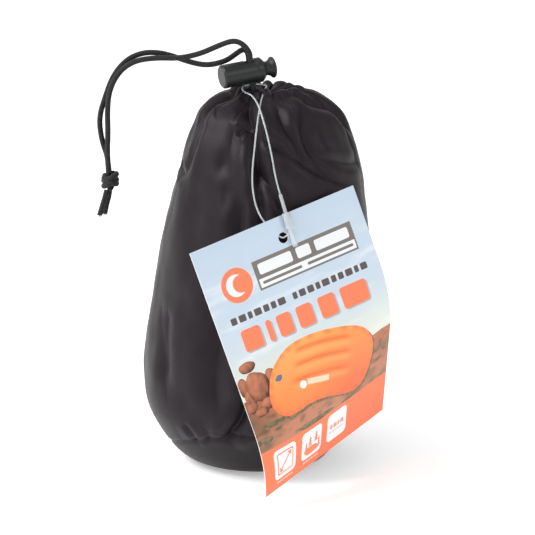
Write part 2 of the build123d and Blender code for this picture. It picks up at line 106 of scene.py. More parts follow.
def catmull(points, samples, closed=False):
    """Points along a Catmull-Rom curve through the given points."""
    p = np.array(points, float)
    n = len(p)
    spans = n if closed else n - 1
    t = np.linspace(0.0, spans, samples, endpoint=not closed)
    i = np.minimum(t.astype(int), spans - 1)
    f = (t - i)[:, None]

    def at(k):
        return p[k % n] if closed else p[np.clip(k, 0, n - 1)]

    a, b, c, d = at(i - 1), at(i), at(i + 1), at(i + 2)
    square = 2 * a - 5 * b + 4 * c - d
    cube = 3 * b - a - 3 * c + d
    return 0.5 * (2 * b + (c - a) * f + square * f ** 2 + cube * f ** 3)


# ---------------------------------------------------------------- materials

class Graph:
    """A material's node tree, with short calls for the nodes used here."""

    def __init__(self, name):
        self.material = bpy.data.materials.new(name)
        self.material.use_nodes = True
        self.tree = self.material.node_tree
        self.shader = self.tree.nodes["Principled BSDF"]

    def put(self, socket, value):
        """Link or set a socket of a node."""
        if isinstance(value, bpy.types.NodeSocket):
            self.tree.links.new(value, socket)
        else:
            socket.default_value = value

    def shade(self, **values):
        for name, value in values.items():
            self.put(self.shader.inputs[name.replace("_", " ")], value)

    def math(self, operation, a, b=0.0, c=0.0):
        node = self.tree.nodes.new("ShaderNodeMath")
        node.operation = operation
        for socket, value in zip(node.inputs, (a, b, c)):
            self.put(socket, value)
        return node.outputs[0]

    def place(self):
        """Object coordinates, in metres."""
        return self.tree.nodes.new("ShaderNodeTexCoord").outputs["Object"]

    def parts(self, vector):
        node = self.tree.nodes.new("ShaderNodeSeparateXYZ")
        self.put(node.inputs[0], vector)
        return node.outputs

    def noise(self, scale, detail=3.0, roughness=0.5, vector=None):
        node = self.tree.nodes.new("ShaderNodeTexNoise")
        self.put(node.inputs["Vector"], vector or self.place())
        node.inputs["Scale"].default_value = scale
        node.inputs["Detail"].default_value = detail
        node.inputs["Roughness"].default_value = roughness
        return node.outputs["Fac"]

    def ramp(self, factor, stops):
        node = self.tree.nodes.new("ShaderNodeValToRGB")
        self.put(node.inputs[0], factor)
        elements = node.color_ramp.elements
        while len(elements) < len(stops):
            elements.new(0.5)
        for element, (position, colour) in zip(elements, stops):
            element.position = position
            element.color = (*colour, 1.0) if len(colour) == 3 else colour
        return node.outputs["Color"]

    def grey(self, factor, low, high, start=0.0, end=1.0):
        """A number between low and high as factor runs from start to end."""
        node = self.tree.nodes.new("ShaderNodeMapRange")
        for socket, value in zip(node.inputs, (factor, start, end, low, high)):
            self.put(socket, value)
        return node.outputs[0]

    def bump(self, height, distance, strength=1.0):
        node = self.tree.nodes.new("ShaderNodeBump")
        node.inputs["Strength"].default_value = strength
        node.inputs["Distance"].default_value = distance
        self.put(node.inputs["Height"], height)
        self.put(self.shader.inputs["Normal"], node.outputs[0])

    def attribute(self, name):
        node = self.tree.nodes.new("ShaderNodeAttribute")
        node.attribute_name = name
        return node.outputs["Color"]


def woven(g, around, pitch):
    """Height of a plain weave that follows the angle round +Z, times a radius, and the height."""
    x, y, z = g.parts(g.place())
    turn = g.math("MULTIPLY", g.math("ARCTAN2", y, x), around)
    warp = g.math("SINE", g.math("MULTIPLY", turn, 2 * math.pi / pitch))
    weft = g.math("SINE", g.math("MULTIPLY", z, 2 * math.pi / pitch))
    return g.math("MULTIPLY", warp, weft)


def sack_cloth_material():
    """Thin black polyester with a faint satin sheen."""
    g = Graph("sack_cloth")
    colour = g.ramp(g.noise(60.0, 4.0), [(0.3, (0.0085, 0.0060, 0.0075)), (0.7, (0.0130, 0.0098, 0.0120))])
    fine = g.noise(5200.0, 2.0)
    weave = woven(g, 0.055, 0.42 * MM)
    g.shade(Base_Color=colour, Roughness=g.grey(fine, 0.38, 0.50), Specular_IOR_Level=0.21)
    g.shader.inputs["Specular Tint"].default_value = (1.0, 0.90, 0.98, 1.0)
    g.bump(g.math("ADD", g.math("MULTIPLY", weave, 0.35), fine), 0.05 * MM, 0.55)
    return g.material


def tape_material():
    g = Graph("seam_tape")
    g.shade(Base_Color=g.ramp(g.noise(300.0), [(0.3, (0.012, 0.012, 0.012)), (0.7, (0.022, 0.021, 0.022))]),
            Roughness=g.grey(g.noise(2500.0), 0.6, 0.85))
    g.bump(woven(g, 0.05, 0.8 * MM), 0.05 * MM)
    return g.material


def cord_material():
    """Braided black polyester, with a few lighter fibres."""
    g = Graph("drawcord")
    fibres = g.noise(2600.0, 3.0, 0.7)
    colour = g.ramp(fibres, [(0.35, (0.006, 0.006, 0.006)), (0.58, (0.016, 0.015, 0.016)),
                             (0.70, (0.085, 0.080, 0.082))])
    g.shade(Base_Color=colour, Roughness=g.grey(fibres, 0.62, 0.85), Specular_IOR_Level=0.3,
            Sheen_Weight=0.15, Sheen_Roughness=0.5)
    g.bump(g.noise(5200.0, 2.0), 0.08 * MM)
    return g.material


def lock_material():
    """Moulded black acetal with a fine spark-eroded texture."""
    g = Graph("lock_plastic")
    fine = g.noise(4200.0, 3.0, 0.6)
    colour = g.ramp(g.noise(90.0, 4.0), [(0.3, (0.0085, 0.0096, 0.0094)), (0.7, (0.0125, 0.0138, 0.0134))])
    g.shade(Base_Color=colour, Roughness=g.grey(fine, 0.34, 0.50), Specular_IOR_Level=0.38)
    g.bump(fine, 0.03 * MM, 0.7)
    return g.material


def steel_material():
    g = Graph("spring_steel")
    g.shade(Base_Color=g.ramp(g.noise(700.0), [(0.3, (0.45, 0.45, 0.46)), (0.7, (0.62, 0.62, 0.63))]),
            Metallic=1.0, Roughness=g.grey(g.noise(1800.0), 0.22, 0.40))
    g.bump(g.noise(3000.0), 0.01 * MM)
    return g.material


def clear_material():
    """Clear nylon filament, slightly milky."""
    g = Graph("clear_nylon")
    colour = g.ramp(g.noise(500.0), [(0.3, (0.82, 0.87, 0.90)), (0.7, (0.90, 0.94, 0.96))])
    g.shade(Base_Color=colour, Roughness=g.grey(g.noise(1500.0), 0.10, 0.22), IOR=1.45,
            Transmission_Weight=0.62)
    g.bump(g.noise(300.0), 0.002 * MM, 0.3)
    return g.material


def pillow_material():
    """Brushed orange polyester of the pillow itself."""
    g = Graph("pillow_cloth")
    g.shade(Base_Color=g.ramp(g.noise(55.0, 4.0), [(0.3, (0.80, 0.19, 0.035)), (0.7, (0.95, 0.27, 0.06))]),
            Roughness=g.grey(g.noise(2000.0), 0.6, 0.8), Sheen_Weight=0.3, Sheen_Roughness=0.4)
    g.bump(woven(g, 0.04, 0.6 * MM), 0.05 * MM, 0.7)
    return g.material


def valve_material(name, low, high):
    g = Graph(name)
    g.shade(Base_Color=g.ramp(g.noise(200.0), [(0.3, low), (0.7, high)]),
            Roughness=g.grey(g.noise(2200.0), 0.38, 0.55))
    g.bump(g.noise(3200.0), 0.03 * MM, 0.6)
    return g.material


def card_material():
    """Coated card whose inks come from the mesh's own colours."""
    g = Graph("printed_card")
    grain = g.noise(3800.0, 2.0)
    ink = g.attribute("ink")
    tint = g.tree.nodes.new("ShaderNodeMix")
    tint.data_type = "RGBA"
    tint.blend_type = "MULTIPLY"
    tint.inputs["Factor"].default_value = 1.0
    g.put(tint.inputs["A"], ink)
    g.put(tint.inputs["B"], g.ramp(grain, [(0.2, (0.96, 0.96, 0.96)), (0.8, (1.0, 1.0, 1.0))]))
    g.shade(Base_Color=tint.outputs["Result"], Roughness=g.grey(grain, 0.34, 0.46), Specular_IOR_Level=0.4)
    g.bump(grain, 0.01 * MM, 0.4)
    return g.material


SACK_CLOTH = sack_cloth_material()
TAPE = tape_material()
CORD = cord_material()
LOCK = lock_material()
STEEL = steel_material()
CLEAR = clear_material()
PILLOW = pillow_material()
VALVE = valve_material("valve_plastic", (0.16, 0.18, 0.21), (0.22, 0.24, 0.27))
FLAP = valve_material("valve_silicone", (0.50, 0.50, 0.49), (0.62, 0.62, 0.60))
CARD = card_material()

CAD_MATERIALS = {
    "drawcord_loop": CORD, "lock_barrel": LOCK, "lock_plunger": LOCK,
    "tag_loop_barb": CLEAR, "tag_loop_socket": CLEAR,
    "pillow_baffles": PILLOW,
    "valve_flange": VALVE, "valve_body": VALVE, "valve_flap": FLAP, "valve_cap": VALVE,
}
for node, material in CAD_MATERIALS.items():
    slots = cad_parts[node].data.materials
    slots.clear()
    slots.append(material)


# ---------------------------------------------------------------- camera and light

def make_camera():
    data = bpy.data.cameras.new("camera")
    data.lens = CAMERA_LENS
    data.sensor_width = CAMERA_SENSOR
    camera = bpy.data.objects.new("camera", data)
    bpy.context.scene.collection.objects.link(camera)
    back = Vector((0, -math.cos(CAMERA_ELEVATION), math.sin(CAMERA_ELEVATION)))
    camera.location = CAMERA_TARGET + back * CAMERA_DISTANCE
    camera.rotation_euler = (math.pi / 2 - CAMERA_ELEVATION, 0, 0)
    bpy.context.scene.camera = camera


def softbox(name, place, size, power):
    data = bpy.data.lights.new(name, "AREA")
    data.shape = "RECTANGLE"
    data.size, data.size_y = size
    data.energy = power
    light = bpy.data.objects.new(name, data)
    light.location = place
    light.rotation_euler = (CAMERA_TARGET - Vector(place)).to_track_quat("-Z", "Y").to_euler()
    bpy.context.scene.collection.objects.link(light)


def make_stage():
    g = Graph("studio_floor")
    g.shade(Base_Color=g.ramp(g.noise(3.0), [(0.3, (0.93, 0.93, 0.93)), (0.7, (0.95, 0.95, 0.95))]),
            Roughness=0.9, Specular_IOR_Level=0.0,
            Emission_Color=(1.0, 1.0, 1.0, 1.0), Emission_Strength=0.36)
    half = 8.0
    floor = add_mesh("studio_floor", [(-half, -half, 0), (half, -half, 0), (half, half, 0), (-half, half, 0)],
                     [(0, 1, 2, 3)], [g.material], smooth=False)
    world = bpy.data.worlds.new("studio")
    world.use_nodes = True
    background = world.node_tree.nodes["Background"]
    direction = world.node_tree.nodes.new("ShaderNodeTexCoord")
    bright_side = world.node_tree.nodes.new("ShaderNodeVectorMath")
    bright_side.operation = "DOT_PRODUCT"
    bright_side.inputs[1].default_value = (-0.78, 0.55, 0.30)
    falloff = world.node_tree.nodes.new("ShaderNodeMapRange")
    falloff.inputs["From Min"].default_value = -1.0
    falloff.inputs["To Min"].default_value = 0.36
    falloff.inputs["To Max"].default_value = 0.95
    world.node_tree.links.new(direction.outputs["Generated"], bright_side.inputs[0])
    world.node_tree.links.new(bright_side.outputs["Value"], falloff.inputs["Value"])
    world.node_tree.links.new(falloff.outputs[0], background.inputs["Strength"])
    background.inputs["Color"].default_value = (1.0, 1.0, 1.0, 1.0)
    bpy.context.scene.world = world
    softbox("key_softbox", (-1.20, -0.35, 1.25), (0.6, 0.7), 20.0)
    softbox("fill_softbox", (1.1, -1.0, 1.0), (0.7, 0.7), 6.6)
    bpy.context.scene.view_settings.view_transform = "Standard"


make_camera()
make_stage()


# ---------------------------------------------------------------- cords

FRONT_TAIL = [(-7.095, -12.851, 196.986), (-7.276, -12.924, 198.574), (-9.6, -13.0, 201.8),
              (-12.8, -13.1, 203.8), (-16.4, -13.1, 203.8), (-22.0, -13.2, 201.6), (-30.5, -13.4, 197.9),
              (-40.0, -13.6, 195.9), (-50.5, -13.4, 196.2), (-60.3, -12.9, 194.8), (-67.6, -12.7, 189.9),
              (-72.4, -12.7, 181.0), (-73.4, -12.7, 171.0), (-73.2, -12.7, 161.0), (-73.8, -12.7, 150.0),
              (-73.2, -12.7, 141.9)]
BACK_TAIL = [(-8.032, -10.533, 196.986), (-8.134, -10.574, 197.879), (-9.2, -10.4, 199.4),
             (-10.8, -10.1, 199.5), (-13.6, -9.6, 197.4), (-18.4, -8.8, 193.8), (-27.0, -8.2, 191.6),
             (-35.4, -8.4, 193.4), (-43.5, -8.9, 196.5), (-50.0, -9.2, 198.0), (-57.0, -9.4, 197.9),
             (-64.3, -9.5, 194.8), (-70.6, -9.6, 187.4), (-74.2, -9.6, 178.0), (-77.6, -9.6, 167.4),
             (-76.4, -9.6, 156.4), (-73.6, -9.7, 148.6), (-73.2, -9.8, 141.9)]
LEFT_END = [(-74.2, -12.6, 133.5), (-75.2, -13.0, 129.8), (-76.3, -13.0, 126.2), (-77.7, -13.1, 121.7)]
RIGHT_END = [(-72.9, -10.0, 133.5), (-73.5, -9.9, 129.8), (-74.6, -9.8, 125.8), (-75.4, -9.7, 121.7)]


def spline_curve(name, points):
    """A NURBS curve object through a route's control points, given in millimetres."""
    data = bpy.data.curves.new(name, "CURVE")
    data.dimensions = "3D"
    data.resolution_u = 12
    spline = data.splines.new("NURBS")
    spline.points.add(len(points) - 1)
    for point, place in zip(spline.points, points):
        point.co = (*(Vector(place) * MM), 1.0)
    spline.order_u = 3
    spline.use_endpoint_u = True
    obj = bpy.data.objects.new(name, data)
    bpy.context.scene.collection.objects.link(obj)
    return obj


def follow(points):
    """The line that a NURBS route follows, as an array of points."""
    curve = spline_curve("route", points)
    mesh = bpy.data.meshes.new_from_object(curve)
    line = np.array([v.co for v in mesh.vertices], float)
    bpy.data.meshes.remove(mesh)
    bpy.data.objects.remove(curve)
    return line


def even(line, step):
    """The same line with points a fixed step apart."""
    lengths = np.r_[0.0, np.cumsum(np.linalg.norm(np.diff(line, axis=0), axis=1))]
    count = max(4, int(round(lengths[-1] / step)) + 1)
    at = np.linspace(0.0, lengths[-1], count)
    return np.stack([np.interp(at, lengths, line[:, k]) for k in range(3)], axis=1)


def frames(line):
    """Tangent and two normals at each point, carried along without twist."""
    tangents = np.gradient(line, axis=0)
    tangents /= np.linalg.norm(tangents, axis=1)[:, None]
    normal = np.cross(tangents[0], (0.3, 1.0, 0.2))
    normals = []
    for tangent in tangents:
        normal = normal - tangent * (normal @ tangent)
        normal = normal / np.linalg.norm(normal)
        normals.append(normal)
    normals = np.array(normals)
    return tangents, normals, np.cross(tangents, normals)


BRAID_CARRIERS = 6
BRAID_PITCH = 5.2 * MM
BRAID_RELIEF = 0.085


def braided_tube(name, line, radius, sides=26, step=0.22 * MM, ends=(1.0, 1.0)):
    """A braided cord along a line: crossing strands stand out of a round core."""
    line = even(line, step)
    _, first, second = frames(line)
    along = np.arange(len(line)) * step
    turn = np.arange(sides) * 2 * math.pi / sides
    phase_a = BRAID_CARRIERS * turn[None, :] / 2 + 2 * math.pi * along[:, None] / BRAID_PITCH * 3
    phase_b = BRAID_CARRIERS * turn[None, :] / 2 - 2 * math.pi * along[:, None] / BRAID_PITCH * 3
    over = np.maximum(np.abs(np.cos(phase_a)), np.abs(np.cos(phase_b)))
    size = radius * (1.0 + BRAID_RELIEF * (over - 0.87) / 0.3)
    fade = np.interp(along, [0, 1.2 * MM, along[-1] - 1.2 * MM, along[-1]], [ends[0], 1, 1, ends[1]])
    size = size * fade[:, None]
    ring = first[:, None, :] * np.cos(turn)[None, :, None] + second[:, None, :] * np.sin(turn)[None, :, None]
    points = (line[:, None, :] + ring * size[:, :, None]).reshape(-1, 3)
    faces = grid_faces(len(line), sides)
    caps = [tuple(range(sides))[::-1], tuple(range((len(line) - 1) * sides, len(line) * sides))]
    tube = add_mesh(name, points, faces + caps, [CORD])
    return tube, line


def overhand_knot():
    """The knot in both tails: three turns of cord wrapped round the two runs that pass through."""
    low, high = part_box("drawcord_knot")
    centre = np.array((low + high) / 2)
    half = (high.z - low.z) / 2
    built = []
    turns = np.linspace(0.0, 1.0, 90)
    for k, (tilt, lift, start) in enumerate(((0.42, 1.5, 0.2), (0.42, -1.1, 0.35), (-0.55, 0.3, 2.6))):
        angle = start + 2 * math.pi * 1.12 * turns
        swell = 2.95 - 1.5 * (smoothstep(0.88, 1.0, turns) + 1 - smoothstep(0.0, 0.12, turns))
        x = swell * np.cos(angle)
        y = swell * np.sin(angle)
        z = lift + tilt * x + (turns - 0.5) * 1.2
        line = np.stack([x, y, z], axis=1) * MM + centre
        tube, _ = braided_tube(f"knot_wrap_{k}", line, 1.28 * MM, step=0.2 * MM, ends=(0.6, 0.6))
        built.append(tube)
    runs = [[(-0.4, 0.0, half / MM), (-1.0, 0.3, 2.0), (1.0, 1.0, -1.5), (-0.3, -1.2, -half / MM)],
            [(0.9, 0.5, half / MM), (1.5, -0.6, 2.2), (-1.1, -0.6, -1.2), (0.6, 0.9, -half / MM)]]
    for k, run in enumerate(runs):
        line = catmull(run, 40) * MM + centre
        tube, _ = braided_tube(f"knot_core_{k}", line, CORD_DIAMETER / 2)
        built.append(tube)
    return join(built, "drawcord_knot_tied")


def join(objects, name):
    """Several mesh objects as one."""
    bm = bmesh.new()
    for obj in objects:
        bm.from_mesh(obj.data)
    materials = list(objects[0].data.materials)
    for obj in objects:
        bpy.data.objects.remove(obj)
    mesh = bpy.data.meshes.new(name)
    bm.to_mesh(mesh)
    bm.free()
    for material in materials:
        mesh.materials.append(material)
    obj = bpy.data.objects.new(name, mesh)
    bpy.context.scene.collection.objects.link(obj)
    return obj


def frayed_end(name, route, seed):
    """A cut end: the braid, with loose fibres at its tip."""
    line = catmull(route, 40) * MM
    tube, line = braided_tube(name + "_braid", line, CORD_DIAMETER / 2, ends=(1.0, 0.92))
    tangent, first, second = (f[-1] for f in frames(line))
    built = [tube]
    fibres = 16
    for k in range(fibres):
        turn = k * 2.399 + seed
        reach = (0.25 + 0.7 * math.sqrt((k + 0.5) / fibres)) * CORD_DIAMETER / 2
        length = (0.5 + 0.55 * ((k * 7 + seed * 3) % 5) / 4) * MM
        side = first * math.cos(turn) + second * math.sin(turn)
        start = line[-1] + side * reach - tangent * 0.6 * MM
        tip = line[-1] + side * reach * 1.25 + tangent * length
        built.append(fibre(f"{name}_fibre_{k}", start, tip, 0.13 * MM))
    return join(built, name)


def fibre(name, start, tip, radius):
    line = np.linspace(start, tip, 5)
    _, first, second = frames(line)
    sides = 6
    points = []
    for i, centre in enumerate(line):
        size = radius * (1.0 - 0.6 * i / (len(line) - 1))
        for j in range(sides):
            turn = 2 * math.pi * j / sides
            points.append(centre + (first[i] * math.cos(turn) + second[i] * math.sin(turn)) * size)
    faces = grid_faces(len(line), sides)
    faces += [tuple(range(sides))[::-1], tuple(range((len(line) - 1) * sides, len(line) * sides))]
    return add_mesh(name, points, faces, [CORD])


def make_drawcord():
    knot = overhand_knot()
    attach(knot, "sack")
    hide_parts("drawcord_knot")
    ends = []
    for name, node, route, seed in (("cord_end_left_frayed", "cord_end_left", LEFT_END, 1.0),
                                    ("cord_end_right_frayed", "cord_end_right", RIGHT_END, 2.0)):
        end = frayed_end(name, route, seed)
        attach(end, "sack")
        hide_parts(node)
        ends.append(end)
    for name, node, route, length, pieces in (
            ("drawcord_front", "drawcord_front_tail", FRONT_TAIL, 0.116, [knot, ends[1]]),
            ("drawcord_back", "drawcord_back_tail", BACK_TAIL, 0.118, [ends[0]])):
        tail, line = braided_tube(name, follow(route), 1.05 * CORD_DIAMETER / 2)
        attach(tail, "sack")
        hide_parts(node)
        tuple(Vector(route[0]) * MM)
        [tuple(p) for p in line]
        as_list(pieces)


def make_spring():
    """The lock's spring, a copy of the model's coil in spring steel; in the real lock it shortens towards the
    barrel's closed end as the button is pressed.
    """
    spring = bpy.data.objects.new("lock_spring_coil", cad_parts["lock_spring"].data.copy())
    bpy.context.scene.collection.objects.link(spring)
    spring.data.materials.clear()
    spring.data.materials.append(STEEL)
    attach(spring, "lock")
    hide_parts("lock_spring")
    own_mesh(spring)


make_drawcord()
make_spring()


# ---------------------------------------------------------------- tag card

CARD_CORNER = Vector((-33.6, -78.0, 118.8))
CARD_TURN = math.radians(28.0)
CARD_LEAN = math.radians(14.9)
CARD_TWIST = math.radians(14.2)
CARD_WIDTH = 89.5
CARD_HEIGHT = 119.5
CARD_THICKNESS = 0.45
CARD_HOLE = (46.6, 9.8)
CARD_HOLE_RADIUS = 2.5
CURL_ANGLE = math.radians(28.2)
CURL_START = 74.9
CURL_RADIUS = 45.0
CURL_TURN = math.radians(38.7)
CARD_NORMAL = Vector((math.sin(CARD_TURN) * math.cos(CARD_LEAN), -math.cos(CARD_TURN) * math.cos(CARD_LEAN),
                      math.sin(CARD_LEAN)))
CARD_LEVEL = Vector((math.cos(CARD_TURN), math.sin(CARD_TURN), 0))
CARD_ACROSS = CARD_LEVEL * math.cos(CARD_TWIST) + CARD_NORMAL.cross(CARD_LEVEL) * math.sin(CARD_TWIST)
CARD_DOWN = -CARD_NORMAL.cross(CARD_ACROSS)


def on_card(across, down, out=0.0):
    """Place on the curled card, in millimetres across and down it and out from its front."""
    along = across * math.cos(CURL_ANGLE) - down * math.sin(CURL_ANGLE)
    past = across * math.sin(CURL_ANGLE) + down * math.cos(CURL_ANGLE)
    bent = min(max((past - CURL_START) / CURL_RADIUS, 0.0), CURL_TURN)
    straight = max(past - CURL_START - CURL_RADIUS * CURL_TURN, 0.0)
    drop = 0.0
    if bent > 0:
        drop = CURL_RADIUS * (1 - math.cos(bent)) + straight * math.sin(bent)
        past = CURL_START + CURL_RADIUS * math.sin(bent) + straight * math.cos(bent)
    past += out * math.sin(bent)
    drop -= out * math.cos(bent)
    flat_across = along * math.cos(CURL_ANGLE) + past * math.sin(CURL_ANGLE)
    flat_down = past * math.cos(CURL_ANGLE) - along * math.sin(CURL_ANGLE)
    return (CARD_CORNER + CARD_ACROSS * flat_across + CARD_DOWN * flat_down - CARD_NORMAL * drop) * MM


LOOP_ROUTE = [(11.548, -55.375, 123.164), (9.482, -55.716, 121.399), (7.637, -54.569, 120.293),
              (4.683, -54.245, 122.301), (0.910, -54.920, 125.942), (-3.6, -52.8, 132.2),
              (-5.8, -48.6, 140.5), (-6.0, -44.9, 149.5), (-4.9, -40.9, 159.2),
              (-3.9, -36.1, 167.7), (-2.9, -29.3, 174.0),
              (-1.6, -21.0, 178.8), (-0.2, -13.8, 181.5), (0.8, -9.2, 182.3), (-0.9, -6.8, 182.6),
              (-5.4, -6.2, 182.7), (-9.8, -7.4, 182.2), (-11.1, -11.2, 180.9), (-9.3, -15.3, 180.2),
              (-6.4, -20.8, 180.2), (-3.6, -27.4, 177.6), (-1.4, -34.9, 172.6), (0.9, -40.9, 165.2),
              (2.9, -45.6, 156.8), (4.2, -49.6, 150.0), (5.337, -52.123, 144.916), (6.766, -52.792, 140.172)]

SKY_TOP = (0.530, 0.640, 0.760)
SKY_MIDDLE = (0.600, 0.700, 0.800)
SKY_LOW = (0.760, 0.800, 0.680)
BAND_ORANGE = (1.000, 0.215, 0.085)
TITLE_ORANGE = (1.000, 0.235, 0.110)
TEXT_GREY = (0.105, 0.085, 0.082)
PANEL_GREY = (0.195, 0.175, 0.160)
INK_WHITE = (0.860, 0.880, 0.900)
BAND_TOP = 96.8
PRINT_STEP = 1.1
TITLE_BLOCKS = [(10.1, 20.2), (23.4, 26.3), (29.1, 36.8), (39.9, 48.4), (52.0, 61.2), (64.4, 79.0)]
HORIZON_LEFT = 72.0
HORIZON_RIGHT = 71.5
# Scrub and boulders on the printed ground as (x, y, width, height, seed)
SCRUB = [(36, 95.3, 26, 3.0, 1.0), (12, 86.0, 15, 2.6, 2.0), (80, 79.0, 15, 2.4, 3.0),
         (4, 92.0, 9, 3.6, 4.0), (60, 95.8, 12, 1.6, 5.0)]
BOULDERS = [(2.4, 65.6, 5.4, 9.0, 1.0), (17.4, 65.2, 6.0, 7.0, 2.0), (4.4, 71.0, 6.4, 7.6, 3.0),
            (14.4, 70.4, 6.6, 8.6, 9.0), (9.4, 67.4, 11.6, 14.6, 4.0), (7.4, 57.6, 9.0, 5.0, 5.0),
            (3.4, 75.6, 6.0, 5.0, 6.0), (12.0, 76.4, 9.0, 5.4, 7.0), (7.2, 79.0, 7.6, 4.0, 8.0)]


def mix(a, b, t):
    t = min(max(float(t), 0.0), 1.0)
    return tuple(p + (q - p) * t for p, q in zip(a, b))


def cloudy(x, y, size, seed=0.0, octaves=4):
    """Smooth noise between about 0 and 1."""
    return 0.5 + 0.5 * noise.fractal(Vector((x / size, y / size, seed)), 0.6, 2.0, octaves)


def box_outline(left, top, right, bottom, corner=0.0, steps=6):
    """A rectangle on the card, with rounded corners when corner is set."""
    if corner == 0.0:
        return [(left, top), (right, top), (right, bottom), (left, bottom)]
    points = []
    for cx, cy, start in ((right - corner, top + corner, -90), (right - corner, bottom - corner, 0),
                          (left + corner, bottom - corner, 90), (left + corner, top + corner, 180)):
        for k in range(steps + 1):
            a = math.radians(start + 90 * k / steps)
            points.append((cx + corner * math.cos(a), cy + corner * math.sin(a)))
    return points


def circle_outline(x, y, radius, steps=48):
    return [(x + radius * math.cos(2 * math.pi * k / steps), y + radius * math.sin(2 * math.pi * k / steps))
            for k in range(steps)]


def arc_points(x, y, radius, start, end, count):
    """Points along part of a circle, between two angles in degrees."""
    return [(x + radius * math.cos(a), y + radius * math.sin(a))
            for a in np.linspace(math.radians(start), math.radians(end), count)]


def smooth_outline(points, samples=90):
    return [tuple(p) for p in catmull(points, samples, closed=True)]


def lump_outline(x, y, wide, high, seed, steps=26):
    """A rounded boulder."""
    points = []
    for k in range(steps):
        a = 2 * math.pi * k / steps
        size = 1.0 + 0.16 * noise.noise(Vector((1.3 * math.cos(a), 1.3 * math.sin(a), seed)))
        points.append((x + wide / 2 * size * math.cos(a), y + high / 2 * size * math.sin(a)))
    return points


def sky_ink(x, y):
    colour = mix(SKY_TOP, SKY_MIDDLE, y / 45)
    colour = mix(colour, SKY_LOW, (y - 44) / 26)
    streak = cloudy(x + 1.8 * y, y * 5.0, 40.0, 3.0)
    return mix(colour, (0.86, 0.90, 0.92), (streak - 0.52) * 1.6 * min(max((y - 5) / 20, 0.0), 1.0))


def ground_ink(x, y):
    depth = (y - 70) / 27
    colour = mix((0.470, 0.140, 0.060), (0.540, 0.220, 0.130), depth * 1.4)
    colour = mix(colour, (0.270, 0.150, 0.085), (cloudy(x, y * 2.6, 14.0, 7.0, 2) - 0.46) * 2.6)
    colour = mix(colour, (0.150, 0.090, 0.045), (0.62 - x / 26) * (1.2 - abs(y - 82) / 12))
    return mix(colour, (0.140, 0.095, 0.045), (cloudy(x, y * 2.4, 8.0, 9.0, 2) - 0.60) * 3.6)


def far_hill_ink(x, y):
    return mix((0.400, 0.150, 0.080), (0.560, 0.230, 0.110), (cloudy(x, y * 2, 4.0, 5.0) - 0.3) * 1.6)


def scrub_ink(x, y):
    return mix((0.120, 0.090, 0.040), (0.330, 0.240, 0.120), (cloudy(x, y * 1.5, 2.2, 4.0) - 0.3) * 1.7)


def boulder_ink(x0, y0, wide, high):
    def ink(x, y):
        across = (x - x0) / (wide / 2)
        down = (y - y0) / (high / 2)
        rim = across * across + down * down
        mottle = 0.8 * (cloudy(1.7 * x, y, 4.0, 2.0, 2) - 0.5)
        light = 0.74 - 0.34 * down - 0.26 * across + mottle - 0.5 * rim ** 2
        return mix((0.060, 0.018, 0.012), (0.600, 0.215, 0.110), light)
    return ink


PILLOW_SHAPE = [(13.2, 74.5), (16.2, 67.0), (21.0, 61.5), (27.5, 57.5), (35.0, 55.5), (47.0, 55.6),
                (61.0, 58.3), (70.0, 62.0), (74.8, 67.5), (76.6, 74.0), (75.6, 82.8), (71.5, 90.6),
                (65.5, 93.6), (58.0, 92.2), (44.5, 87.1), (34.0, 85.4), (27.0, 86.0), (20.5, 86.3),
                (15.6, 83.8), (13.0, 79.5)]
CHANNELS = [((33.0, 59.6), (63.0, 64.0)), ((30.4, 65.6), (61.4, 70.3)), ((27.2, 72.2), (58.8, 77.6))]


def pillow_ink(x, y):
    """The drawn pillow: three sewn channels across, lighter towards the top left."""
    glow = (92 - y) / 36 + 0.15 * math.sin(x / 14)
    colour = mix((0.93, 0.160, 0.045), (1.0, 0.410, 0.115), glow)
    edge = min((Vector((x, y)) - Vector(p)).length for p in PILLOW_EDGE)
    colour = mix((0.86, 0.130, 0.040), colour, 0.35 + edge / 4.5)
    for (x0, y0), (x1, y1) in CHANNELS:
        t = (x - x0) / (x1 - x0)
        if -0.06 < t < 1.06:
            off = y - (y0 + (y1 - y0) * t) + 1.2 * math.sin(math.pi * min(max(t, 0), 1))
            ends = min(1.0, min(t + 0.06, 1.06 - t) * 7)
            shade = math.exp(-(off / 1.15) ** 2) * 0.75 * ends
            crest = math.exp(-((off - 2.6) / 1.5) ** 2) * 0.35 * ends
            colour = mix(colour, (0.80, 0.140, 0.035), shade)
            colour = mix(colour, (1.0, 0.520, 0.190), crest)
    return colour


PILLOW_OUTLINE = smooth_outline(PILLOW_SHAPE)
PILLOW_EDGE = PILLOW_OUTLINE[::3]


def plain(colour):
    return lambda x, y: colour


def band_ink(x, y):
    return mix(BAND_ORANGE, (1.0, 0.180, 0.070), (y - BAND_TOP) / 30)


def words(left, right, top, bottom, counts, gap, word_gap, corner):
    """Plain blocks of unequal width that stand for a line of print, grouped like words."""
    total = sum(counts)
    shares = [1.0 + 0.28 * math.sin(2.4 * k) for k in range(total)]
    room = right - left - word_gap * (len(counts) - 1) - gap * (total - len(counts))
    made, x, k = [], left, 0
    for count in counts:
        for _ in range(count):
            width = room * shares[k] / sum(shares)
            made.append(box_outline(x, top, x + width, bottom, corner, 3))
            x += width + gap
            k += 1
        x += word_gap - gap
    return made


